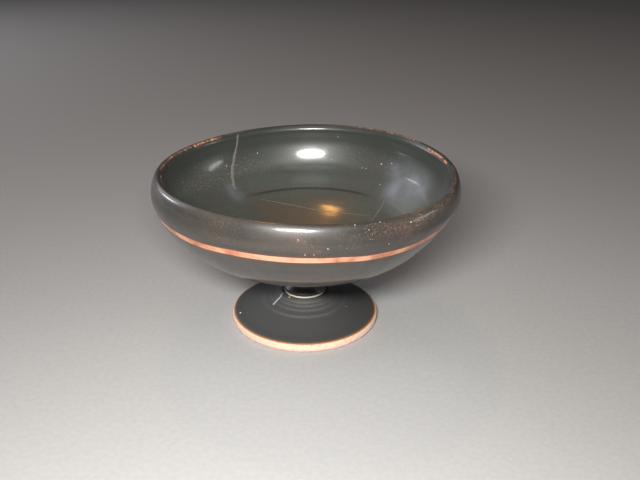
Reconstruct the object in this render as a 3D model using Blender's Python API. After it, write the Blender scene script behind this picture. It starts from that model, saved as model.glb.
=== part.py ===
"""A wheel-thrown stemmed drinking cup: a wide shallow bowl, a short stem and a broad disc foot.

The bowl, stem and foot are joined while the clay is soft and fired as one body, so the cup is one
solid. Its outline is drawn once, as radius and height in metres, and turned about the Z axis. The
origin is at the centre of the ring that the foot rests on.
"""
import math

import bpy
from mathutils import Vector
from mathutils.geometry import interpolate_bezier

# Foot
foot_radius = 0.0310           # widest part of the foot's rounded edge
foot_top_inset = 0.0009        # the edge's upper corner, inside the widest part
foot_bottom_inset = 0.0007     # the edge's lower corner, inside the widest part
foot_edge_middle = 0.0021      # from the table to the widest part
foot_edge_top = 0.0015         # from the widest part to the edge's upper corner
foot_rise = 0.0093             # from the edge's upper corner up to the groove round the stem
rest_width = 0.0050            # flat ring that stands on the table
hollow_step = 0.0016           # width and height of the rounded rim of the hollow under the foot
hollow_rise = 0.0062           # from that rim up to the top of the hollow, on the axis

# Stem
groove_radius = 0.0088         # scraped groove where the stem stands on the foot
groove_width = 0.0006
bead_height = 0.0012           # small bead above the groove
neck_radius = 0.0066           # narrowest part of the stem
neck_height = 0.0045           # from the groove up to the narrowest part
stem_height = 0.0114           # from the groove up to the bowl
stem_top_radius = 0.0125       # where the stem has spread out into the bowl

# Bowl
belly_radius = 0.0380          # where the underside starts to turn upwards
belly_rise = 0.0093            # from the top of the stem up to there
shoulder_radius = 0.0612       # widest ring of the bowl
shoulder_rise = 0.0261         # from the belly up to the widest ring
lip_rise = 0.0073              # from the widest ring up to the crest of the lip
lip_inset = 0.0029             # crest of the lip, inside the widest ring
mouth_inset = 0.0045           # inner edge of the lip, inside the widest ring
mouth_drop = 0.0015            # inner edge of the lip, below the crest
wall = 0.0042                  # thickness of the bowl's wall
floor_thickness = 0.0046       # thickness of the clay over the stem

# Directions of the outline, in degrees: 0 is level and outwards, 90 is up
outwards = 0.0
up = 90.0
inwards = 180.0
down = -90.0
belly_slope = 21.0             # the underside of the bowl, at the belly
stem_top_slope = 12.0          # and where it meets the stem
mouth_slope = 98.0             # the inner wall leans in at the mouth
lip_slope = 55.0               # the lip rises from its inner edge
bead_slope = -50.0             # the stem spreads into its bead
foot_groove_slope = -30.0      # the foot's top beside the groove
foot_edge_slope = -17.0        # and at its edge
foot_under_slope = -150.0      # the rounded edge turns under
hollow_rim_slope = 115.0       # the hollow's rim leaves the resting ring
hollow_slope = 160.0           # the hollow rises towards the axis

# How far a curve holds its direction at each end, as shares of its length
even_hold = (0.36, 0.36)
lip_hold = (0.20, 0.42)
outer_wall_hold = (0.08, 0.45)
inner_wall_hold = (0.40, 0.14)

# Number of straight steps in a curve, and round the whole cup
tight_steps = 2
short_steps = 3
middle_steps = 6
wall_steps = 10
turn_steps = 72

merge_distance = 0.00001       # points on the axis closer than this are one

# Heights, from the table up
foot_edge_height = foot_edge_middle + foot_edge_top
groove_height = foot_edge_height + foot_rise
stem_top = groove_height + stem_height
belly_height = stem_top + belly_rise
shoulder_height = belly_height + shoulder_rise
lip_height = shoulder_height + lip_rise
floor_height = stem_top + floor_thickness

# Points of the outline where one curve hands over to the next, as (radius, height)
mouth = (shoulder_radius - mouth_inset, lip_height - mouth_drop)
crest = (shoulder_radius - lip_inset, lip_height)
shoulder = (shoulder_radius, shoulder_height)
belly = (belly_radius, belly_height)
top_of_stem = (stem_top_radius, stem_top)


def direction(degrees):
    """Unit vector in the plane of radius and height."""
    return Vector((math.cos(math.radians(degrees)), math.sin(math.radians(degrees))))


def sweep(start, leave, end, arrive, steps, hold=even_hold):
    """Smooth curve from start to end with the given directions there, without its first point."""
    start = Vector(start)
    end = Vector(end)
    reach = (end - start).length
    first_handle = start + direction(leave) * reach * hold[0]
    second_handle = end - direction(arrive) * reach * hold[1]
    points = interpolate_bezier(start, first_handle, second_handle, end, steps + 1)
    return [tuple(point) for point in points[1:]]


def inside_of_bowl():
    """From the middle of the floor, out and up to the inner edge of the lip."""
    middle = (0.0, floor_height)
    across_wall = direction(belly_slope + up) * wall
    turn = (belly_radius + across_wall.x, belly_height + across_wall.y)
    widest = (shoulder_radius - wall, shoulder_height)
    outline = [middle]
    outline += sweep(middle, outwards, turn, belly_slope, middle_steps)
    outline += sweep(turn, belly_slope, widest, up, wall_steps, inner_wall_hold)
    outline += sweep(widest, up, mouth, mouth_slope, short_steps)
    return outline


def outside_of_bowl():
    """Over the lip, round the shoulder and down the underside to the top of the stem."""
    outline = sweep(mouth, lip_slope, crest, outwards, short_steps)
    outline += sweep(crest, outwards, shoulder, down, middle_steps, lip_hold)
    outline += sweep(shoulder, down, belly, inwards + belly_slope, wall_steps, outer_wall_hold)
    outline += sweep(belly, inwards + belly_slope, top_of_stem, inwards + stem_top_slope, short_steps)
    return outline


def stem():
    """Down the hollow-sided stem to the bead and the groove at its base."""
    neck = (neck_radius, groove_height + neck_height)
    bead_radius = groove_radius - groove_width / 2
    bead_top = (bead_radius, groove_height + bead_height)
    groove = (bead_radius, groove_height - groove_width / 2)
    outline = sweep(top_of_stem, inwards + stem_top_slope, neck, down, middle_steps)
    outline += sweep(neck, down, bead_top, bead_slope, short_steps)
    outline += [groove]
    return outline


def foot():
    """Out over the foot, round its edge and in along the hollow underneath."""
    top = (groove_radius + groove_width / 2, groove_height - groove_width / 2)
    corner = (foot_radius - foot_top_inset, foot_edge_height)
    widest = (foot_radius, foot_edge_middle)
    rest_outer = (foot_radius - foot_bottom_inset, 0.0)
    rest_inner = (rest_outer[0] - rest_width, 0.0)
    rim = (rest_inner[0] - hollow_step, hollow_step)
    hollow_top = (0.0, hollow_step + hollow_rise)
    outline = [top]
    outline += sweep(top, foot_groove_slope, corner, foot_edge_slope, middle_steps)
    outline += sweep(corner, foot_edge_slope, widest, down, tight_steps)
    outline += sweep(widest, down, rest_outer, foot_under_slope, tight_steps)
    outline += [rest_inner]
    outline += sweep(rest_inner, hollow_rim_slope, rim, hollow_slope, tight_steps)
    outline += sweep(rim, hollow_slope, hollow_top, inwards, short_steps)
    return outline


def turned(name, outline):
    """Object whose mesh is the outline, turned once about the Z axis."""
    mesh = bpy.data.meshes.new(name)
    points = [(radius, 0.0, height) for radius, height in outline]
    edges = [(i, i + 1) for i in range(len(points) - 1)]
    mesh.from_pydata(points, edges, [])
    piece = bpy.data.objects.new(name, mesh)
    bpy.context.scene.collection.objects.link(piece)
    screw = piece.modifiers.new("turning", 'SCREW')
    screw.axis = 'Z'
    screw.angle = math.tau
    screw.steps = turn_steps
    screw.render_steps = turn_steps
    screw.use_merge_vertices = True
    screw.merge_threshold = merge_distance
    screw.use_smooth_shade = True
    return piece


def black_gloss():
    """Fired black gloss: nearly black, warm, and not quite a mirror."""
    material = bpy.data.materials.new("black_gloss")
    material.use_nodes = True
    shader = material.node_tree.nodes["Principled BSDF"]
    shader.inputs["Base Color"].default_value = (0.022, 0.021, 0.019, 1.0)
    shader.inputs["Roughness"].default_value = 0.28
    shader.inputs["Metallic"].default_value = 0.0
    return material


for old in list(bpy.data.objects):
    bpy.data.objects.remove(old, do_unlink=True)

cup = turned("kylix_cup", inside_of_bowl() + outside_of_bowl() + stem() + foot())
cup.data.materials.append(black_gloss())
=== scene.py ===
"""Looks of the stemmed cup: black gloss fired over orange clay, with a worn lip, cracks and mends.

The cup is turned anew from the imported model's own section, with wheel marks and a worn lip in the
mesh. Marks that the photograph shows are placed by its pixels and sit on the clay's surface.
"""
import math
import random

import bpy
import numpy as np
from mathutils import Matrix, Quaternion, Vector
from mathutils.bvhtree import BVHTree


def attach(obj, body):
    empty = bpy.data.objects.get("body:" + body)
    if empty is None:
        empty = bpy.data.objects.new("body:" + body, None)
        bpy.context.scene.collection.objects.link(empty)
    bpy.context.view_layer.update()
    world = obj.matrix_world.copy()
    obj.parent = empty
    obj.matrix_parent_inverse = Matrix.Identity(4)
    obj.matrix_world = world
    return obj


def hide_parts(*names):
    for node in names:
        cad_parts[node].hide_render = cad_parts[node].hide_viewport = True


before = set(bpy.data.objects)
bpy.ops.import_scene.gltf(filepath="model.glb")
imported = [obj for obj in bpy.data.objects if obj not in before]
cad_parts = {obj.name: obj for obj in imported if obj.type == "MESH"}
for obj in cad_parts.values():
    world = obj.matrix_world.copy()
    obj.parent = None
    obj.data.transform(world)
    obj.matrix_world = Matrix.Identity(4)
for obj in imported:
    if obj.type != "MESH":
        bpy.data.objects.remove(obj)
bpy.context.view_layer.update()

millimetre = 0.001

# Camera: where the photograph was taken from, in metres and degrees
image_width = 640
image_height = 480
camera_distance = 0.28769      # level distance from the cup's axis
camera_height = 0.16774        # above the table
camera_pitch = 24.744          # looks down
camera_yaw = 1.153             # turned to the right
camera_roll = 0.478
focal_pixels = 765.4
sensor_width = 36.0            # millimetres
near_clip = 0.01

# Mesh of the cup
columns = 336                  # round the axis
corner_turn = 50.0             # sharper turns of the section stay corners, in degrees
fine_steps = 24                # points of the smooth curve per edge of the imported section
same_place = 5                 # decimals of a metre that tell two section points apart
on_plane = 1e-6                # metres off the section's plane that still count as on it
outward_reach = 0.15           # millimetres to each side that give the outward direction

# Where each stretch of the section starts, as radius and height, and how far apart its rows are,
# all in millimetres
stretches = {
    "floor": (0.0, 28.9, 1.0),
    "wall": (40.2, 39.3, 0.9),
    "mouth": (56.9, 63.5, 0.45),
    "shoulder": (61.2, 59.7, 0.7),
    "underside": (45.4, 37.7, 1.2),
    "stem": (12.5, 24.3, 0.5),
    "groove": (8.5, 12.6, 0.2),
    "foot_rings": (9.1, 12.6, 0.35),
    "foot_top": (16.0, 8.95, 0.7),
    "foot_edge": (30.1, 3.6, 0.3),
    "rest": (30.3, 0.0, 1.2),
    "hollow": (24.7, 1.0, 1.6),
}

# Landmarks of the section, as radius and height in millimetres
mouth_edge = (56.7, 65.5)
lip_crest = (58.3, 67.0)
stripe_top = (60.15, 56.1)     # the bare stripe round the bowl
stripe_bottom = (58.65, 53.3)
foot_top_edge = (30.1, 3.6)    # the black ends here, and the foot's bare edge starts
groove_floor = (8.8, 12.6)

# Relief in the mesh, in millimetres.
# Wheel marks: the stretch where they start and how far past its start, the same for their end, how
# softly they end, the length and height of their ridges, and how much these change round the axis.
wheel_marks = (
    ("floor", 0.0, "mouth", 0.0, 2.0, 4.2, 0.008, 1.0),
    ("floor", 0.0, "mouth", 0.0, 2.0, 1.7, 0.006, 1.0),
    ("shoulder", 0.0, "stem", 0.0, 3.0, 3.1, 0.006, 1.0),
    ("foot_rings", 1.0, "foot_top", 0.0, 0.8, 1.05, 0.006, 0.0),
    ("foot_rings", 0.6, "foot_edge", -1.0, 1.0, 2.4, 0.006, 1.0),
)
ridge_shares = (1.0, 0.71, 1.37, 0.53)         # lengths of the waves that make up the ridges
hand_pressure = ((1, 0.7, 0.35), (3, 0.0, 0.15))   # waves round, shift in radians and strength
foot_rings = (                 # turned rings on the foot: how far from the groove, width and height
    (0.9, 0.35, 0.08), (2.1, 0.40, 0.10), (3.9, 0.42, 0.10), (6.0, 0.45, 0.10), (9.2, 0.50, 0.09),
)
wall_swells = (                # slow swells inside: how far out along the section, width and height
    (32.0, 6.0, -0.15), (57.6, 4.0, -0.73), (68.6, 5.0, 0.69),
)
floor_line = 45.5              # a fine line turned into the floor: how far out along the section
floor_line_width = 0.55
floor_line_depth = 0.06
mouth_rounding = 0.5           # the worn inner edge of the lip
rounding_samples = 41
rounding_side = 2.0            # how many of its reaches a point is averaged over, to each side
rounding_end = 3.0             # how many of its reaches away the rounding ends
rounding_power = 4             # higher ends it more abruptly
lip_uneven = 0.12
lip_soft = 2.0
lip_waves = ((2, 0.4), (3, 2.1), (5, 1.3), (9, 0.2))   # waves round the lip, and shift in radians

# How the rim leaves a true circle, in millimetres
warp_start = 6.0               # how far out along the section
warp_mean = 0.1
warp_oval_across = -0.33
warp_oval_along = 0.73

# How far the clay leans to the right, in millimetres, at these radii and heights of the section
lean_course = (
    ((0.0, 28.9), 0.0), ((54.2, 53.0), 0.0), ((58.3, 67.0), 0.4), ((61.2, 59.7), 0.25),
    ((58.65, 53.3), -0.55), ((54.0, 46.8), -0.95), ((38.0, 33.6), -0.9), ((12.5, 24.3), -0.5),
    ((0.0, 7.8), -0.5),
)

# Colours, as linear red, green and blue
gloss_green = (0.056, 0.066, 0.055)
gloss_brown = (0.059, 0.056, 0.048)
gloss_pale = (0.090, 0.092, 0.083)
# Painted shade inside, just below the mouth, where the wall turns down away from the lamp
painted_shade_near_mouth = (0.034, 0.038, 0.033)     # inside, near the mouth
gloss_warm = (0.080, 0.058, 0.042)
# Painted reflection of the window: a pale blue cloud laid into the gloss on the right wall
painted_window_reflection = (0.190, 0.200, 0.235)
gloss_line = (0.010, 0.010, 0.009)
outer_gloss = (0.031, 0.029, 0.026)
outer_gloss_pale = (0.058, 0.047, 0.038)
foot_gloss = (0.047, 0.047, 0.046)
# Worn tops of the foot's rings, paler towards the camera as a painted highlight
foot_worn_and_lit = (0.140, 0.138, 0.130)
clay_light = (0.60, 0.26, 0.145)
clay_deep = (0.43, 0.165, 0.085)
clay_pale = (0.70, 0.38, 0.24)
# Partly a painted highlight: the top of the foot's bare edge, which faces the lamp, is paler cream
foot_cream_lit = (0.68, 0.52, 0.37)        # upper part of the foot's bare edge
foot_pink = (0.80, 0.55, 0.46)
border_brown = (0.33, 0.115, 0.03)
border_red = (0.110, 0.022, 0.020)
worn_brown = (0.100, 0.060, 0.042)
worn_red = (0.150, 0.075, 0.055)
fleck_cream = (0.45, 0.36, 0.24)
fleck_pale = (0.36, 0.34, 0.30)
fleck_brown = (0.26, 0.14, 0.07)
scraped_clay = (0.80, 0.74, 0.62)
floor_light = (0.425, 0.42, 0.415)
floor_shade = (0.40, 0.395, 0.39)

# Matt materials of the small pieces: light and deep colour, size of the grain in millimetres and
# roughness
grey_filler = ((0.185, 0.17, 0.16), (0.105, 0.095, 0.088), 0.5, 0.8)
pale_filler = ((0.39, 0.39, 0.40), (0.25, 0.25, 0.26), 0.8, 0.8)
lime = ((0.75, 0.68, 0.55), (0.50, 0.43, 0.33), 0.4, 0.85)
golden_clay = ((0.75, 0.45, 0.17), (0.48, 0.24, 0.08), 0.5, 0.7)

# Finish
gloss_smooth = 0.40
gloss_dull = 0.48
foot_roughness = 0.60
dull_roughness = 0.50
gloss_level = 0.50
coat_share = 0.75
foot_coat_share = 0.0
coat_roughness = 0.14
clay_roughness = 0.75
floor_roughness = 0.9
floor_level = 0.1
grain_depth = 0.02             # millimetres
gloss_grain = 0.25             # share of that depth on the gloss

# Noise in the materials: size of its lumps in millimetres, finer layers and how strong these are
cloud_noise = (16.0, 3.0)
streak_noise = (2.2, 3.0)
fine_noise = (0.7, 4.0, 0.65)
patch_cloud_noise = (6.0, 3.0)
wobble_noise = (6.0, 3.0)
clay_noise = (1.4, 5.0, 0.7)
clay_cloud_noise = (9.0, 2.0)
wear_noise = (1.5, 4.0, 0.65)
scuff_noise = (0.45, 4.0, 0.6)
large_fleck_noise = (0.50, 1.0)
small_fleck_noise = (0.28, 1.0)
fleck_tone_noise = (1.2, 2.0)
sheen_noise = (7.0, 4.0)
floor_noise = (2.0, 3.0)
grain_layers = (4.0, 0.65)     # each matt material has a size of its own
noise_middle = 0.5

# Ranges of a noise, or of a distance in millimetres, over which one look turns into another. Where
# there are four numbers, the last two are the values at the ends, which are otherwise 0 and 1.
brown_range = (0.36, 0.64)
pale_range = (0.50, 0.78)
outer_pale_range = (0.40, 0.62)
patch_cloud_range = (0.30, 0.65, 0.4, 1.0)
line_range = (1.0, 0.2, 0.0, 0.65)             # from the floor's line
mouth_shade_range = (-14.0, -3.0)                    # from the mouth
outside_range = (-2.0, 1.0)                    # from the crest of the lip
foot_range = (0.0, 1.0)                        # from the middle of the groove
ring_range = (0.35, 0.65, 0.25, 0.75)
bare_range = (0.10, 0.42)                      # inside a band's border
border_range = (-0.65, -0.15)
clay_range = (0.35, 0.70)
clay_cloud_range = (0.4, 0.65)
foot_pink_range = (0.9, 2.2)                   # down from the foot's border
foot_grain_range = (0.50, 0.75)
thin_range = (0.35, 0.60)
gone_range = (0.72, 0.86)
scuff_range = (0.48, 0.66)
large_fleck_range = (0.88, 0.94)
small_fleck_range = (0.84, 0.92)
fleck_tone_range = (0.42, 0.58)
scraped_range = (0.58, 0.34)                   # from the middle of the scraped groove
# Painted shade: the scraped ring fades to the dark gloss away from the front
lit_ring_range = (0.1, 0.6, 0.25, 1.0)
sheen_range = (0.35, 0.70, gloss_smooth, gloss_dull)
dull_coat_range = (0.0, 0.8, 1.0, 0.15)
stem_coat_range = (-6.0, 4.0, 1.0, 0.1)        # from the stem
grain_range = (0.35, 0.68)
floor_range = (0.3, 0.7)

# How strongly the parts of a look are mixed in
cloud_share = 0.50
streak_share = 0.50
outer_cloud_share = 0.6
outer_fine_share = 0.4
# share of the painted reflection of the window
painted_reflection_share = 0.8
warm_share = 0.8
scuff_colour_share = 0.8
scuff_rough_share = 0.7
fleck_share = 0.24
wear_uneven = 1.5
# The ring tops' painted highlight: weakest on the far side, growing towards the camera
ring_lit_least = 0.30         # on the far side of the foot
ring_lit_side = (0.55, 1.0)   # how far round to the near side it grows, as a sine

# Borders of the bare bands
streak_length = 3.0            # how slowly the wheel's streaks change round the axis
border_wobble = 0.35           # millimetres
border_ragged = 0.35
foot_wobble = 1.5              # how much more the foot's pink wavers
stripe_ends = 0.5              # radians from the stripe's last known place to its true course
groove_shift = -0.25           # millimetres from the groove's middle to the scraped ring's

# Seams of filler: the section of a seam, as shares of its half width and of its height
seam_profile = ((-1.0, 0.0), (-0.7, 0.6), (0.0, 1.0), (0.7, 0.6), (1.0, 0.0))
seam_sink = 0.15               # millimetres into the clay at its edges
seam_widths = (0.75, 1.25)     # least and most of its stated width, and of its height
seam_heights = (0.7, 1.3)
seam_drift = 0.12              # share of its width that it leaves its line by
seam_taper = 0.25              # lower is blunter at the ends
seam_seed = 8

# Specks and chips: levels from the clay up, as share of the half width and height as share of the
# width; the least and most that they are stretched by, and that each point is moved out by
crumb_sides = 10
crumb_levels = ((1.0, -0.25), (1.0, 0.02), (0.8, 0.16), (0.4, 0.25))
crumb_stretch = (0.8, 1.3)
crumb_widths = (0.8, 1.2)
crumb_seed = 5

# Marks, by their pixels in the photograph. Widths and heights are in millimetres.
first_mend_top = ((238, 134), (237, 145), (235.5, 152.5))
first_mend = ((236, 150), (235, 155), (233, 165), (232.5, 172), (233, 180), (235, 189))
first_mend_end = ((260, 199), (300, 206.6), (322, 211), (345, 213), (371, 216))
second_mend = ((385, 199), (380, 209), (375, 216), (371, 221))
foot_crack = ((282.3, 292.6), (280.5, 296.5), (277.5, 299.6), (273.2, 304.6))
mends = (
    (first_mend_top, 1.25, 0.05),
    (first_mend, 2.0, 0.10),
    (first_mend_end, 0.45, 0.03),
    (second_mend, 0.45, 0.06),
)
foot_mends = ((foot_crack, 1.35, 0.10),)
lime_specks = (
    (257.5, 153, 0.42), (226.5, 166, 0.42), (237, 165, 0.35), (338, 137, 0.35),
    (328, 152.5, 0.35), (332, 159, 0.35), (362, 168, 0.35), (366, 168.5, 0.35),
    (391.5, 163.5, 0.35), (380, 184.5, 0.42), (411, 222, 0.42), (380, 222, 0.35),
    (355, 225, 0.35), (369, 230, 0.35), (328, 249, 0.50), (314, 255, 0.35),
    (305, 255, 0.35), (389, 244, 0.42), (240.5, 312.8, 0.75), (346, 306.5, 0.30),
)
clay_chips = ((381.5, 164, 0.8), (289.5, 297, 0.9), (298, 240, 0.5))

# Middle of the bare stripe, which is drawn by hand and wavers
stripe_middle = (
    (172, 230.8), (180, 236.1), (190, 241.2), (204, 246.5), (228, 251.9), (252, 255.7),
    (282, 259.2), (312, 261.0), (342, 260.4), (366, 258.1), (390, 253.6), (405, 249.4),
    (414, 245.9), (424, 240.8), (432, 236.2),
)

# Worn stretches of the lip: from one pixel to another, how far past the crest, half width and
# strength
lip_wear = (
    ((157, 196), (159, 172), -1.8, 0.7, 0.80),
    ((160, 170), (200, 142), -0.8, 0.9, 0.75),
    ((196, 146), (226, 137), -1.0, 1.1, 0.88),
    ((226, 137), (250, 132), -0.4, 0.6, 0.60),
    ((342, 129), (420, 144), -0.4, 0.5, 0.85),
    ((424, 147), (443, 163), -1.4, 0.7, 0.95),
    ((446, 163), (457, 192), -0.2, 1.3, 0.50),
    ((452, 196), (405, 222), 0.0, 1.2, 0.56),
    ((410, 220), (330, 227), -0.4, 0.6, 0.62),
    ((305, 227), (236, 219), -0.6, 0.7, 0.80),
    ((236, 219), (165, 195), -0.6, 0.6, 0.72),
)
lip_wear_end = 0.05            # how softly a stretch ends, in radians

# Patches of a look, by the name that the material reads them under: how many pixels apart their
# lines are traced, and for each the line's pixels, its reach in millimetres and its strength
patches = {
    "scuff": (1.5, (
        (((388, 231), (400, 229), (408, 233)), 3.0, 1.0),
        (((293, 237), (303, 240)), 1.8, 1.0),
        (((303, 251), (318, 253)), 1.8, 1.0),
    )),
    "flecked": (4.0, (
        (((372, 233), (400, 228), (418, 221)), 5.0, 0.84),
        (((418, 221), (430, 214), (442, 205), (452, 190)), 5.0, 1.0),
        (((350, 239), (385, 236), (415, 226), (435, 214)), 8.0, 0.60),
        (((175, 192), (215, 178), (250, 165)), 12.0, 0.79),
        (((300, 243), (330, 250), (360, 246)), 4.0, 0.70),
        (((340, 150), (400, 165)), 9.0, 0.60),
        (((157, 188), (163, 205), (190, 218), (240, 228)), 3.0, 0.72),
        (((205, 232), (250, 245), (285, 250)), 4.0, 0.55),
    )),
    # Where the gloss is duller; on the right wall this patch also carries a painted reflection of
    # the window
    "dull_and_reflection_patch": (4.0, (
        (((396, 189), (407, 186), (420, 185)), 5.5, 1.0),
        (((398, 168), (412, 160), (424, 163)), 6.0, 0.6),
        (((408, 223), (424, 217), (438, 208)), 3.5, 0.8),
        (((230, 188), (237, 195)), 3.0, 0.5),
    )),
    "warm_cloud": (4.0, ((((276, 214), (300, 218), (328, 219)), 8.0, 1.0),)),
    # Where the floor's line shows best
    "line_clear": (3.0, ((((268, 194), (305, 189.6), (352, 193.5)), 9.0, 1.0),)),
    # Where the scraped groove shows its clay, at the front; its sides keep the dark gloss as
    # painted shade
    "ring_lit_front": (2.0, (
        (((288, 294.5), (296, 297), (305, 297.5), (314, 297), (320, 295)), 2.2, 1.0),
    )),
}
seam_step = 1.5                # pixels

# Light: places and sizes in metres, powers in watts
lamp_target = (0.0, 0.0, 0.05)
lamp_middle = (0.5, 0.5, 0.0)  # in shares of the lamp's own width and height
key_place = (-0.030, -0.283, 0.200)
key_size = (0.123, 0.026)
key_power = 1.9
lamp_white = (1.0, 0.98, 0.95)
window_place = (-0.76, 0.53, 0.52)
window_size = (1.25, 1.0)
window_power = 4.4
window_colour = (0.90, 0.93, 1.0)
window_fade = (0.5, 0.15)      # where it is dark and fully bright, as shares from its middle
strip_place = (-0.872, 0.425, 0.302)
strip_size = (0.38, 0.06)
strip_power = 1.45
strip_roll = 31.0              # degrees, its end nearer the camera higher
side_place = (0.95, -0.035, 0.215)
side_size = (0.32, 0.07)
side_power = 0.65
ceiling_place = (-0.05, -0.25, 0.80)
ceiling_size = (0.45, 0.30)
ceiling_power = 0.35
warm_place = (-0.135, 0.475, 0.92)
warm_size = (0.050, 0.14)
warm_power = 0.62
warm_colour = (1.0, 0.47, 0.12)
room_colour = (0.80, 0.85, 0.95)
room_strength = 0.042
floor_size = 4.0


def sight_axes():
    """Right, up and forward directions of the camera."""
    pitch = math.radians(camera_pitch)
    yaw = math.radians(camera_yaw)
    roll = math.radians(camera_roll)
    level = math.cos(pitch)
    forward = Vector((math.sin(yaw) * level, math.cos(yaw) * level, -math.sin(pitch)))
    beside = Vector((math.cos(yaw), -math.sin(yaw), 0.0))
    raised = beside.cross(forward)
    right = math.cos(roll) * beside + math.sin(roll) * raised
    up = math.cos(roll) * raised - math.sin(roll) * beside
    return right, up, forward


camera_place = Vector((0.0, -camera_distance, camera_height))
camera_right, camera_up, camera_forward = sight_axes()


def make_camera():
    data = bpy.data.cameras.new("camera")
    data.sensor_width = sensor_width
    data.lens = sensor_width * focal_pixels / image_width
    data.clip_start = near_clip
    camera = bpy.data.objects.new("camera", data)
    turned = Matrix((camera_right, camera_up, -camera_forward)).transposed().to_4x4()
    camera.matrix_world = Matrix.Translation(camera_place) @ turned
    bpy.context.scene.collection.objects.link(camera)
    bpy.context.scene.camera = camera


def sight(u, v):
    """Direction from the camera through a pixel of the photograph."""
    across = (u - image_width / 2) / focal_pixels
    down = (v - image_height / 2) / focal_pixels
    return (camera_forward + camera_right * across - camera_up * down).normalized()


def section_of(node):
    """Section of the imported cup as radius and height, from the floor's middle to the hollow."""
    mesh = node.data
    neighbours = {}
    for edge in mesh.edges:
        ends = [mesh.vertices[i].co for i in edge.vertices]
        if any(abs(end.y) > on_plane or end.x < -on_plane for end in ends):
            continue
        first, second = [(round(abs(end.x), same_place), round(end.z, same_place)) for end in ends]
        if first != second:
            neighbours.setdefault(first, set()).add(second)
            neighbours.setdefault(second, set()).add(first)
    on_axis = [key for key in neighbours if key[0] == 0.0]
    path = [max(on_axis, key=lambda key: key[1])]
    before = None
    while True:
        onward = [key for key in neighbours[path[-1]] if key != before]
        if not onward:
            return np.array(path)
        before = path[-1]
        path.append(onward[0])


def smoothed(points):
    """Close points on the smooth curve through the section, with its sharp corners kept."""
    chords = np.diff(points, axis=0)
    lengths = np.linalg.norm(chords, axis=1)
    headings = chords / lengths[:, None]
    arriving = np.zeros_like(points)
    leaving = np.zeros_like(points)
    leaving[0] = (1.0, 0.0)
    arriving[-1] = (-1.0, 0.0)
    for i in range(1, len(points) - 1):
        turn = math.degrees(math.acos(np.clip(headings[i - 1] @ headings[i], -1.0, 1.0)))
        if turn > corner_turn:
            arriving[i] = headings[i - 1]
            leaving[i] = headings[i]
        else:
            blended = headings[i - 1] * lengths[i] + headings[i] * lengths[i - 1]
            arriving[i] = leaving[i] = blended / np.linalg.norm(blended)
    share = np.arange(fine_steps)[:, None] / fine_steps
    curve = []
    for i, length in enumerate(lengths):
        start = points[i] * (2 * share**3 - 3 * share**2 + 1)
        end = points[i + 1] * (3 * share**2 - 2 * share**3)
        out = leaving[i] * length * (share**3 - 2 * share**2 + share)
        into = arriving[i + 1] * length * (share**3 - share**2)
        curve.append(start + end + out + into)
    curve.append(points[-1:])
    return np.concatenate(curve)


class Section:
    """The smooth section: its points, and how far each lies along it, in millimetres."""

    def __init__(self, node):
        self.points = smoothed(section_of(node)) / millimetre
        self.measure()
        self.wear_round(self.nearest(*mouth_edge), mouth_rounding)

    def measure(self):
        steps = np.linalg.norm(np.diff(self.points, axis=0), axis=1)
        self.along = np.concatenate([[0.0], np.cumsum(steps)])

    def wear_round(self, middle, reach):
        """Rounds the edge there: each point near it becomes the mean of those around it."""
        shifts = np.linspace(-rounding_side, rounding_side, rounding_samples)
        weights = np.exp(-shifts**2)
        weights /= weights.sum()
        radius, height = self.at(self.along[:, None] + shifts * reach)
        rounded = np.stack([radius @ weights, height @ weights], axis=-1)
        off = (self.along - middle) / (rounding_end * reach)
        share = np.exp(-(off**rounding_power))[:, None]
        self.points = self.points * (1.0 - share) + rounded * share
        self.measure()

    def nearest(self, radius, height):
        """Distance along the section to the point nearest to this radius and height."""
        gaps = np.hypot(self.points[:, 0] - radius, self.points[:, 1] - height)
        return float(self.along[int(np.argmin(gaps))])

    def at(self, along):
        """Radius and height at these distances."""
        radius = np.interp(along, self.along, self.points[:, 0])
        height = np.interp(along, self.along, self.points[:, 1])
        return radius, height

    def outward(self, along):
        """Direction out of the clay at these distances."""
        radius_before, height_before = self.at(along - outward_reach)
        radius_after, height_after = self.at(along + outward_reach)
        step = np.stack([radius_after - radius_before, height_after - height_before], axis=-1)
        step /= np.linalg.norm(step, axis=-1, keepdims=True)
        return -step[..., 1], step[..., 0]

    def rows(self):
        """Distances of the mesh's rows, closer together where the shape is finer."""
        starts = [self.nearest(radius, height) for radius, height, _ in stretches.values()]
        ends = starts[1:] + [self.along[-1]]
        rows = []
        for start, end, (_, _, spacing) in zip(starts, ends, stretches.values()):
            count = max(1, round((end - start) / spacing))
            rows += list(np.linspace(start, end, count, endpoint=False))
        return np.array(rows[1:])


section = Section(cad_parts["kylix_cup"])
section_length = section.along[-1]
start_of = {
    name: section.nearest(radius, height) for name, (radius, height, _) in stretches.items()
}
crest = section.nearest(*lip_crest)
stripe_start = section.nearest(*stripe_top)
stripe_end = section.nearest(*stripe_bottom)
foot_border = section.nearest(*foot_top_edge)
groove_middle = section.nearest(*groove_floor)


def waves(along, length, seed):
    """Uneven ridges of about this length, between -1 and 1, the same on every run."""
    chance = random.Random(seed)
    total = np.zeros_like(along)
    for share in ridge_shares:
        phase = chance.uniform(0.0, math.tau)
        total += np.sin(math.tau * along / (length * share) + phase)
    return total / len(ridge_shares)


def fade(value, start, end):
    """Rises smoothly from 0 at start to 1 at end."""
    share = np.clip((value - start) / (end - start), 0.0, 1.0)
    return share * share * (3.0 - 2.0 * share)


def between(along, first, last, soft):
    """1 from one distance to another, falling to 0 softly on both sides."""
    return fade(along, first - soft, first + soft) * (1.0 - fade(along, last - soft, last + soft))


def hump(along, middle, width):
    """1 at the middle, falling to 0 on both sides."""
    off = (along - middle) / width
    return np.exp(-off * off)


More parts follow.
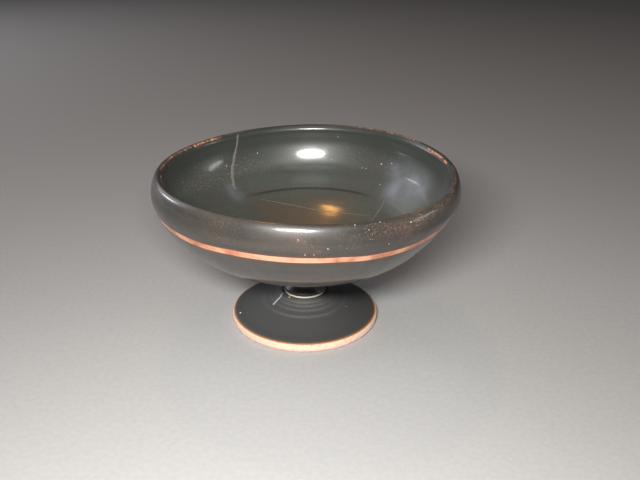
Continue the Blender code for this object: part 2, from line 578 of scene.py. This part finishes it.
def relief(along, turn):
    """Height of the wheel marks, rings and swells over the smooth clay, in millimetres."""
    pressure = sum(share * np.sin(count * turn + shift) for count, shift, share in hand_pressure)
    height = np.zeros_like(along)
    for seed, mark in enumerate(wheel_marks, start=1):
        first, past_first, last, past_last, soft, length, rise, change = mark
        reach = between(along, start_of[first] + past_first, start_of[last] + past_last, soft)
        height += reach * rise * waves(along, length, seed) * (1.0 + change * pressure)
    for place, width, rise in foot_rings:
        height += rise * hump(along, start_of["foot_rings"] + place, width) * (1.0 + pressure)
    for place, width, swell in wall_swells:
        height += swell * hump(along, place, width)
    return height - floor_line_depth * hump(along, floor_line, floor_line_width)


def bend(along, turn):
    """How far the bowl's rim stands above or below a true circle, in millimetres."""
    rising = fade(along, warp_start, start_of["mouth"])
    falling = 1.0 - fade(along, crest, start_of["stem"])
    oval = warp_oval_across * np.cos(2 * turn) + warp_oval_along * np.sin(2 * turn)
    return rising * falling * (warp_mean + oval)


def lean(along):
    """How far the clay leans to the right, in millimetres."""
    places = [section.nearest(*spot) for spot, _ in lean_course]
    return np.interp(along, places, [shift for _, shift in lean_course])


def with_ends(grid, first=0.0, last=0.0):
    """Values by row and column, with one for the middle of the floor and one for the hollow."""
    return np.concatenate([[first], grid.reshape(-1), [last]])


def unwrapped(column, wraps):
    """The column's number, counted on past the last one where a face closes the ring."""
    return column + columns if wraps and column < columns / 2 else column


def add_mesh(name, vertices, faces, material):
    mesh = bpy.data.meshes.new(name)
    mesh.from_pydata([tuple(v) for v in vertices], [], faces)
    mesh.polygons.foreach_set("use_smooth", [True] * len(mesh.polygons))
    mesh.materials.append(material)
    piece = bpy.data.objects.new(name, mesh)
    bpy.context.scene.collection.objects.link(piece)
    return piece


class Clay:
    """The cup's surface: its points by row and column, and what lies at a pixel of the photo."""

    def __init__(self):
        self.along = section.rows()
        self.along_of, self.turn_of = np.meshgrid(
            self.along, np.arange(columns) * math.tau / columns, indexing="ij"
        )
        along, turn = self.along_of, self.turn_of
        radius, height = section.at(along)
        out, rise = section.outward(along)
        raised = relief(along, turn)
        at_lip = between(along, start_of["mouth"], start_of["shoulder"], lip_soft)
        hand = sum(np.sin(count * turn + shift) for count, shift in lip_waves) / len(lip_waves)
        radius = radius + out * raised + at_lip * lip_uneven * hand
        height = height + rise * raised + bend(along, turn)
        across = radius * np.cos(turn) + lean(along)
        self.points = np.stack([across, radius * np.sin(turn), height], axis=-1) * millimetre
        floor = np.array([0.0, 0.0, section.points[0, 1]]) * millimetre
        hollow = np.array([lean(section_length), 0.0, section.points[-1, 1]]) * millimetre
        self.vertices = np.concatenate([[floor], self.points.reshape(-1, 3), [hollow]])
        self.faces = self.make_faces()
        self.tree = BVHTree.FromPolygons([tuple(v) for v in self.vertices], self.faces)

    def make_faces(self):
        """Rings of faces from row to row, closed at the middle of the floor and of the hollow."""
        last_row = 1 + (len(self.along) - 1) * columns
        hollow = len(self.vertices) - 1
        round_axis = [(j, (j + 1) % columns) for j in range(columns)]
        faces = [(0, 1 + j, 1 + after) for j, after in round_axis]
        for here in range(1, last_row, columns):
            below = here + columns
            faces += [(here + j, below + j, below + after, here + after) for j, after in round_axis]
        return faces + [(last_row + j, hollow, last_row + after) for j, after in round_axis]

    def at_pixel(self, u, v):
        """Place and outward direction of the clay that shows at a pixel, or None beside the cup."""
        place, normal, _, _ = self.tree.ray_cast(camera_place, sight(u, v))
        return (place, normal) if place is not None else None

    def trace(self, pixels, step):
        """Places and directions along a line drawn through pixels."""
        found = []
        for (u0, v0), (u1, v1) in zip(pixels, pixels[1:]):
            count = max(1, round(math.hypot(u1 - u0, v1 - v0) / step))
            for k in range(count):
                share = k / count
                found.append(self.at_pixel(u0 + (u1 - u0) * share, v0 + (v1 - v0) * share))
        found.append(self.at_pixel(*pixels[-1]))
        return [spot for spot in found if spot]

    def near(self, places, radius):
        """For every mesh point, 1 at these places and near 0 past twice this many millimetres."""
        strength = np.zeros(len(self.vertices))
        for place, _ in places:
            gap = np.linalg.norm(self.vertices - np.array(place), axis=1)
            strength = np.maximum(strength, hump(gap, 0.0, radius * millimetre))
        return strength

    def build(self, name):
        """The cup as one closed mesh, with the fields that its material reads."""
        cup = add_mesh(name, self.vertices, self.faces, fired_cup())
        for field, values in self.fields().items():
            carried = cup.data.attributes.new(field, 'FLOAT', 'POINT')
            carried.data.foreach_set("value", values.astype(np.float32))
        self.unroll(cup.data)
        return cup

    def fields(self):
        """What the material reads: one number for every mesh point, by name."""
        fields = {
            "along": with_ends(self.along_of, 0.0, section_length),
            "turn_across": with_ends(np.cos(self.turn_of), 1.0, 1.0),
            "turn_along": with_ends(np.sin(self.turn_of)),
            "lip_wear": with_ends(self.worn_lip()),
            "worn_and_lit_ring": with_ends(self.worn_and_lit_rings()),
            "stripe_drift": with_ends(self.stripe_drift()),
        }
        for name, (step, lines) in patches.items():
            found = [self.near(self.trace(line, step), reach) * most for line, reach, most in lines]
            fields[name] = np.max(found, axis=0)
        return fields

    def worn_lip(self):
        """How worn the lip is at every point, from the stretches that the photograph shows."""
        worn = np.zeros_like(self.along_of)
        for first, last, past_crest, half_width, strength in lip_wear:
            start = self.lip_turn(*first)
            sweep = math.remainder(self.lip_turn(*last) - start, math.tau)
            middle = start + sweep / 2
            half = abs(sweep) / 2
            off = np.abs(np.remainder(self.turn_of - middle + math.pi, math.tau) - math.pi)
            within = 1.0 - fade(off, half - lip_wear_end, half + lip_wear_end)
            across = hump(self.along_of, crest + past_crest, half_width)
            worn = np.maximum(worn, strength * within * across)
        return worn

    def worn_and_lit_rings(self):
        """How worn the tops of the foot's rings are, with a painted highlight strongest on the
        camera's side.
        """
        start = start_of["foot_rings"]
        tops = [hump(self.along_of, start + place, width) for place, width, _ in foot_rings]
        shown = fade(-np.sin(self.turn_of), *ring_lit_side)
        return np.max(tops, axis=0) * (ring_lit_least + (1.0 - ring_lit_least) * shown)

    def stripe_drift(self):
        """How far the stripe's middle wavers along the section, at every point."""
        turns = []
        drifts = []
        for u, v in stripe_middle:
            place, _ = self.at_pixel(u, v)
            gaps = np.linalg.norm(self.points.reshape(-1, 3) - np.array(place), axis=1)
            nearest = int(np.argmin(gaps))
            turns.append(self.turn_of.reshape(-1)[nearest] % math.tau)
            drifts.append(self.along_of.reshape(-1)[nearest] - (stripe_start + stripe_end) / 2)
        turns = [turns[0] - stripe_ends] + turns + [turns[-1] + stripe_ends]
        return np.interp(self.turn_of, turns, [0.0] + drifts + [0.0])

    def lip_turn(self, u, v):
        """Angle round the axis of the lip at a pixel."""
        direction = sight(u, v)
        reach = (lip_crest[1] * millimetre - camera_place.z) / direction.z
        spot = camera_place + direction * reach
        return math.atan2(spot.y, spot.x)

    def unroll(self, mesh):
        """Lays the surface out flat for baking: across by column, upwards by distance along it."""
        flat = []
        for face in self.faces:
            spots = [self.column_and_along(vertex) for vertex in face]
            lined = [column for column, _ in spots if column is not None]
            wraps = max(lined) - min(lined) > columns / 2
            middle = sum(unwrapped(column, wraps) for column in lined) / len(lined)
            for column, along in spots:
                across = middle if column is None else unwrapped(column, wraps)
                flat += [across / columns, along / section_length]
        mesh.uv_layers.new(name="OFBake").data.foreach_set("uv", np.array(flat, dtype=np.float32))

    def column_and_along(self, vertex):
        """Column and distance along the section of a mesh point; on the axis it has no column."""
        if vertex == 0:
            return None, 0.0
        if vertex == len(self.vertices) - 1:
            return None, section_length
        row, column = divmod(vertex - 1, columns)
        return column, self.along[row]


class Nodes:
    """A material's nodes, with short names for the few kinds that it uses."""

    def __init__(self, name):
        self.material = bpy.data.materials.new(name)
        self.material.use_nodes = True
        self.tree = self.material.node_tree
        self.shader = self.tree.nodes["Principled BSDF"]
        coordinates = self.tree.nodes.new("ShaderNodeTexCoord")
        scaled = self.tree.nodes.new("ShaderNodeVectorMath")
        scaled.operation = 'SCALE'
        self.feed(scaled.inputs[0], coordinates.outputs["Object"])
        self.feed(scaled.inputs["Scale"], 1.0 / millimetre)
        self.place = scaled.outputs["Vector"]

    def feed(self, socket, value):
        """A socket takes another node's output, a number or a colour."""
        if isinstance(value, bpy.types.NodeSocket):
            self.tree.links.new(value, socket)
        elif isinstance(value, tuple) and len(value) == 3 and socket.type == 'RGBA':
            socket.default_value = (*value, 1.0)
        else:
            socket.default_value = value

    def math(self, operation, first, second=0.0):
        node = self.tree.nodes.new("ShaderNodeMath")
        node.operation = operation
        self.feed(node.inputs[0], first)
        self.feed(node.inputs[1], second)
        return node.outputs[0]

    def plus(self, first, second):
        return self.math('ADD', first, second)

    def minus(self, first, second):
        return self.math('SUBTRACT', first, second)

    def times(self, first, second):
        return self.math('MULTIPLY', first, second)

    def most(self, first, *others):
        """Largest of these numbers."""
        for other in others:
            first = self.math('MAXIMUM', first, other)
        return first

    def combine(self, x, y, z):
        node = self.tree.nodes.new("ShaderNodeCombineXYZ")
        self.feed(node.inputs[0], x)
        self.feed(node.inputs[1], y)
        self.feed(node.inputs[2], z)
        return node.outputs[0]

    def field(self, name):
        """A number that the mesh carries at its points."""
        node = self.tree.nodes.new("ShaderNodeAttribute")
        node.attribute_name = name
        return node.outputs["Fac"]

    def cloud(self, place, size, detail=2.0, rough=0.5):
        """Noise about 0.5, with lumps of about this size in millimetres."""
        node = self.tree.nodes.new("ShaderNodeTexNoise")
        self.feed(node.inputs["Vector"], place)
        node.inputs["Scale"].default_value = 1.0 / size
        node.inputs["Detail"].default_value = detail
        node.inputs["Roughness"].default_value = rough
        return node.outputs["Fac"]

    def step(self, value, start, end, low=0.0, high=1.0):
        """Smoothly from low where value is start to high where it is end."""
        node = self.tree.nodes.new("ShaderNodeMapRange")
        node.interpolation_type = 'SMOOTHSTEP'
        self.feed(node.inputs["Value"], value)
        node.inputs["From Min"].default_value = start
        node.inputs["From Max"].default_value = end
        node.inputs["To Min"].default_value = low
        node.inputs["To Max"].default_value = high
        return node.outputs["Result"]

    def step_from(self, value, origin, start, end, low=0.0, high=1.0):
        """The same as step, with start and end measured from an origin."""
        return self.step(value, origin + start, origin + end, low, high)

    def mix(self, share, first, second):
        """Colour between first and second."""
        node = self.tree.nodes.new("ShaderNodeMix")
        node.data_type = 'RGBA'
        self.feed(node.inputs["Factor"], share)
        colour_a, colour_b = [socket for socket in node.inputs if socket.type == 'RGBA']
        self.feed(colour_a, first)
        self.feed(colour_b, second)
        return [socket for socket in node.outputs if socket.type == 'RGBA'][0]

    def blend(self, share, first, second):
        """Number between first and second."""
        node = self.tree.nodes.new("ShaderNodeMix")
        node.data_type = 'FLOAT'
        self.feed(node.inputs[0], share)
        self.feed(node.inputs[2], first)
        self.feed(node.inputs[3], second)
        return node.outputs[0]

    def dents(self, height, depth):
        """Small relief in the shading: height runs from 0 to 1 over this depth in millimetres."""
        node = self.tree.nodes.new("ShaderNodeBump")
        node.inputs["Distance"].default_value = depth * millimetre
        self.feed(node.inputs["Height"], height)
        self.feed(self.shader.inputs["Normal"], node.outputs["Normal"])


class CupNodes(Nodes):
    """Nodes of the cup, with the distances and noises that several of its looks share."""

    def __init__(self):
        super().__init__("fired_cup")
        self.along = self.field("along")
        self.streak_place = self.combine(
            self.times(self.field("turn_across"), streak_length),
            self.times(self.field("turn_along"), streak_length),
            self.along,
        )
        self.fine = self.cloud(self.place, *fine_noise)
        self.outside = self.step_from(self.along, crest, *outside_range)
        self.on_foot = self.step_from(self.along, groove_middle, *foot_range)
        # Patchy mask: duller gloss there, and a painted reflection of the window in its colour
        patch_cloud = self.step(self.cloud(self.place, *patch_cloud_noise), *patch_cloud_range)
        self.dulled_and_reflecting = self.times(self.field("dull_and_reflection_patch"), patch_cloud)


def fired_cup():
    """Black gloss with brown and olive clouds, bare bands with dark red borders, and wear."""
    n = CupNodes()
    bare, border, clay = bare_bands(n)
    thin, gone, scuffed = wear(n)
    flecks, fleck_tone = pale_flecks(n)
    scraped = scraped_groove(n)

    colour = n.mix(border, gloss_colour(n), n.mix(n.on_foot, border_red, border_brown))
    colour = n.mix(bare, colour, clay)
    colour = n.mix(thin, colour, worn_brown)
    colour = n.mix(gone, colour, clay_light)
    colour = n.mix(n.times(scuffed, scuff_colour_share), colour, worn_red)
    colour = n.mix(flecks, colour, fleck_tone)
    colour = n.mix(scraped, colour, scraped_clay)
    n.feed(n.shader.inputs["Base Color"], colour)

    matt = n.most(bare, scraped, thin, gone)
    rough = n.step(n.cloud(n.place, *sheen_noise), *sheen_range)
    rough = n.blend(n.on_foot, rough, foot_roughness)
    rough = n.blend(n.dulled_and_reflecting, rough, dull_roughness)
    rough = n.blend(matt, rough, clay_roughness)
    rough = n.blend(n.times(scuffed, scuff_rough_share), rough, clay_roughness)
    n.feed(n.shader.inputs["Roughness"], rough)

    bright = n.times(n.minus(1.0, matt), n.blend(n.on_foot, coat_share, foot_coat_share))
    bright = n.times(bright, n.step(n.dulled_and_reflecting, *dull_coat_range))
    bright = n.times(bright, n.step_from(n.along, start_of["stem"], *stem_coat_range))
    n.feed(n.shader.inputs["Coat Weight"], bright)
    n.shader.inputs["Coat Roughness"].default_value = coat_roughness
    n.shader.inputs["Specular IOR Level"].default_value = gloss_level
    n.dents(n.times(n.fine, n.blend(matt, gloss_grain, 1.0)), grain_depth)
    return n.material


def gloss_colour(n):
    """The black gloss: olive and brown inside, browner outside, grey on the foot."""
    clouds = n.times(n.cloud(n.place, *cloud_noise), cloud_share)
    streaks = n.times(n.cloud(n.streak_place, *streak_noise), streak_share)
    mottled = n.plus(clouds, streaks)
    gloss = n.mix(n.step(mottled, *brown_range), gloss_green, gloss_brown)
    gloss = n.mix(n.step(n.fine, *pale_range), gloss, gloss_pale)
    line_gap = n.math('ABSOLUTE', n.minus(n.along, floor_line))
    gloss = n.mix(n.times(n.step(line_gap, *line_range), n.field("line_clear")), gloss, gloss_line)
    # Painted reflection of the window: a pale blue cloud in the dull patch
    gloss = n.mix(n.times(n.dulled_and_reflecting, painted_reflection_share), gloss, painted_window_reflection)
    # Painted shade: darker gloss inside, just below the mouth
    gloss = n.mix(n.step_from(n.along, start_of["mouth"], *mouth_shade_range), gloss, painted_shade_near_mouth)
    gloss = n.mix(n.times(n.field("warm_cloud"), warm_share), gloss, gloss_warm)

    spotted = n.plus(n.times(mottled, outer_cloud_share), n.times(n.fine, outer_fine_share))
    outer = n.mix(n.step(spotted, *outer_pale_range), outer_gloss, outer_gloss_pale)
    gloss = n.mix(n.outside, gloss, outer)

    # Worn ring tops with a painted highlight, strongest on the camera's side
    worn_and_lit_ring = n.times(n.field("worn_and_lit_ring"), n.step(n.fine, *ring_range))
    return n.mix(n.on_foot, gloss, n.mix(worn_and_lit_ring, foot_gloss, foot_worn_and_lit))


def bare_bands(n):
    """Stripe round the bowl and edge of the foot: where they are bare, where they and their
    hand-drawn borders lie, and the colour of the clay."""
    uneven = n.times(n.minus(n.cloud(n.streak_place, *wobble_noise), noise_middle), border_wobble)
    wobble = n.plus(uneven, n.times(n.minus(n.fine, noise_middle), border_ragged))
    drifted = n.minus(n.along, n.field("stripe_drift"))
    stripe = n.math('MINIMUM', n.minus(drifted, stripe_start), n.minus(stripe_end, drifted))
    inside_band = n.plus(n.most(stripe, n.minus(n.along, foot_border)), wobble)

    grain = n.cloud(n.place, *clay_noise)
    clay = n.mix(n.step(grain, *clay_range), clay_deep, clay_light)
    clay = n.mix(n.step(n.cloud(n.place, *clay_cloud_noise), *clay_cloud_range), clay, clay_pale)
    down_edge = n.minus(n.plus(n.along, n.times(wobble, foot_wobble)), foot_border)
    # Cream clay at the top of the foot's edge, pink lower down; the paler top is partly a painted
    # highlight
    foot_clay = n.mix(n.step(down_edge, *foot_pink_range), foot_cream_lit, foot_pink)
    foot_clay = n.mix(n.step(grain, *foot_grain_range), foot_clay, clay_light)
    clay = n.mix(n.step(n.along, groove_middle, foot_border), clay, foot_clay)
    return n.step(inside_band, *bare_range), n.step(inside_band, *border_range), clay


def wear(n):
    """Where the gloss is worn thin, where it is gone and where it is scuffed."""
    uneven = n.times(n.minus(n.cloud(n.place, *wear_noise), noise_middle), wear_uneven)
    worn = n.plus(n.field("lip_wear"), uneven)
    scuffed = n.times(n.field("scuff"), n.step(n.cloud(n.place, *scuff_noise), *scuff_range))
    return n.step(worn, *thin_range), n.step(worn, *gone_range), scuffed


def pale_flecks(n):
    """Where flecks lie, and their colour."""
    flecked = n.times(n.field("flecked"), fleck_share)
    large = n.step(n.plus(flecked, n.cloud(n.place, *large_fleck_noise)), *large_fleck_range)
    small = n.step(n.plus(flecked, n.cloud(n.place, *small_fleck_noise)), *small_fleck_range)
    tone_place = n.step(n.cloud(n.place, *fleck_tone_noise), *fleck_tone_range)
    tone = n.mix(tone_place, fleck_brown, fleck_cream)
    return n.most(large, small), n.mix(n.outside, fleck_pale, tone)


def scraped_groove(n):
    """Where the groove between stem and foot shows scraped clay: only at the front, its sides left
    dark as painted shade.
    """
    gap = n.math('ABSOLUTE', n.minus(n.along, groove_middle + groove_shift))
    return n.times(n.step(gap, *scraped_range), n.step(n.field("ring_lit_front"), *lit_ring_range))


def plain_clay(name, light, deep, size, roughness):
    """Matt fired clay, filler or lime, with a fine grain."""
    n = Nodes(name)
    grain = n.cloud(n.place, size, *grain_layers)
    n.feed(n.shader.inputs["Base Color"], n.mix(n.step(grain, *grain_range), deep, light))
    n.shader.inputs["Roughness"].default_value = roughness
    n.dents(grain, grain_depth)
    return n.material


def tube_faces(base, rings, around):
    """Faces of a closed tube whose points lie ring by ring from this point on."""
    faces = []
    for here in range(base, base + (rings - 1) * around, around):
        for k in range(around):
            after = (k + 1) % around
            faces.append((here + k, here + after, here + after + around, here + k + around))
    last = base + (rings - 1) * around
    faces.append(tuple(base + k for k in reversed(range(around))))
    faces.append(tuple(last + k for k in range(around)))
    return faces


def ridge(name, lines, material):
    """Low rounded seams of filler that follow the clay, one for each line of places."""
    vertices = []
    faces = []
    chance = random.Random(seam_seed)
    for places, width, height in lines:
        count = len(places)
        faces += tube_faces(len(vertices), count, len(seam_profile))
        for i, (place, normal) in enumerate(places):
            before = places[max(0, i - 1)][0]
            after = places[min(count - 1, i + 1)][0]
            ahead = (after - before).normalized()
            side = ahead.cross(normal).normalized()
            taper = math.sin(math.pi * (i + 0.5) / count) ** seam_taper
            half = width / 2 * taper * chance.uniform(*seam_widths)
            top = height * taper * chance.uniform(*seam_heights)
            drift = side * chance.uniform(-seam_drift, seam_drift) * width
            for share, lift in seam_profile:
                rise = top * lift - seam_sink * (lift <= 0.0)
                vertices.append(place + (side * half * share + drift + normal * rise) * millimetre)
    return add_mesh(name, vertices, faces, material)


def crumbs(name, spots, material):
    """Small uneven specks that stick to the clay: places with the width of each, in millimetres."""
    vertices = []
    faces = []
    chance = random.Random(crumb_seed)
    for (place, normal), width in spots:
        side = normal.orthogonal().normalized()
        other = normal.cross(side)
        faces += tube_faces(len(vertices), len(crumb_levels), crumb_sides)
        stretch = chance.uniform(*crumb_stretch)
        for reach, lift in crumb_levels:
            for k in range(crumb_sides):
                angle = math.tau * k / crumb_sides
                wide = width / 2 * reach * chance.uniform(*crumb_widths)
                offset = side * math.cos(angle) * wide * stretch + other * math.sin(angle) * wide
                vertices.append(place + (offset + normal * lift * width) * millimetre)
    return add_mesh(name, vertices, faces, material)


def make_floor():
    """Plain pale floor."""
    n = Nodes("pale_floor")
    grain = n.cloud(n.place, *floor_noise)
    tone = n.mix(n.step(grain, *floor_range), floor_shade, floor_light)
    n.feed(n.shader.inputs["Base Color"], tone)
    n.shader.inputs["Roughness"].default_value = floor_roughness
    n.shader.inputs["Specular IOR Level"].default_value = floor_level
    size = floor_size / 2
    corners = [(-size, -size, 0.0), (size, -size, 0.0), (size, size, 0.0), (-size, size, 0.0)]
    return add_mesh("floor", corners, [(0, 1, 2, 3)], n.material)


def area_light(name, place, across, power, colour, roll=0.0):
    """Soft round or oval lamp that faces the bowl, rolled by some degrees."""
    data = bpy.data.lights.new(name, 'AREA')
    data.shape = 'ELLIPSE'
    data.size, data.size_y = across
    data.energy = power
    data.color = colour
    lamp = bpy.data.objects.new(name, data)
    lamp.location = place
    facing = (Vector(lamp_target) - Vector(place)).to_track_quat('-Z', 'Y')
    lamp.rotation_euler = (facing @ Quaternion((0.0, 0.0, 1.0), math.radians(roll))).to_euler()
    bpy.context.scene.collection.objects.link(lamp)
    return lamp


def soften(lamp):
    """The lamp is brightest in the middle and fades out towards its edge."""
    lamp.use_nodes = True
    nodes = lamp.node_tree.nodes
    links = lamp.node_tree.links
    spread = nodes.new("ShaderNodeNewGeometry")
    gap = nodes.new("ShaderNodeVectorMath")
    gap.operation = 'DISTANCE'
    gap.inputs[1].default_value = lamp_middle
    links.new(spread.outputs["Parametric"], gap.inputs[0])
    faded = nodes.new("ShaderNodeMapRange")
    faded.interpolation_type = 'SMOOTHSTEP'
    faded.inputs["From Min"].default_value, faded.inputs["From Max"].default_value = window_fade
    links.new(gap.outputs["Value"], faded.inputs["Value"])
    links.new(faded.outputs["Result"], nodes["Emission"].inputs["Strength"])


def make_lights():
    area_light("key", key_place, key_size, key_power, lamp_white)
    window = area_light("window", window_place, window_size, window_power, window_colour)
    soften(window.data)
    area_light("strip", strip_place, strip_size, strip_power, window_colour, strip_roll)
    area_light("side", side_place, side_size, side_power, lamp_white)
    area_light("ceiling", ceiling_place, ceiling_size, ceiling_power, lamp_white)
    area_light("warm", warm_place, warm_size, warm_power, warm_colour)
    world = bpy.data.worlds.new("room")
    world.use_nodes = True
    background = world.node_tree.nodes["Background"]
    background.inputs["Color"].default_value = (*room_colour, 1.0)
    background.inputs["Strength"].default_value = room_strength
    bpy.context.scene.world = world
    bpy.context.scene.view_settings.view_transform = 'Standard'


def traced(lines):
    """Lines of pixels as lines of places on the clay, each with its width and height."""
    return [(clay.trace(line, seam_step), width, height) for line, width, height in lines]


def placed(marks):
    """Places on the clay at these pixels, each with its width."""
    spots = [(clay.at_pixel(u, v), width) for u, v, width in marks]
    return [spot for spot in spots if spot[0]]


make_camera()
clay = Clay()
cup = clay.build("turned_cup")
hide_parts("kylix_cup")

seams = ridge("mend_seams", traced(mends), plain_clay("grey_filler", *grey_filler))

foot_seams = ridge("foot_seams", traced(foot_mends), plain_clay("pale_filler", *pale_filler))

specks = crumbs("lime_specks", placed(lime_specks), plain_clay("lime", *lime))

chips = crumbs("clay_chips", placed(clay_chips), plain_clay("chipped_clay", *golden_clay))

for piece in (cup, seams, foot_seams, specks, chips):
    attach(piece, "root")

make_floor()
make_lights()
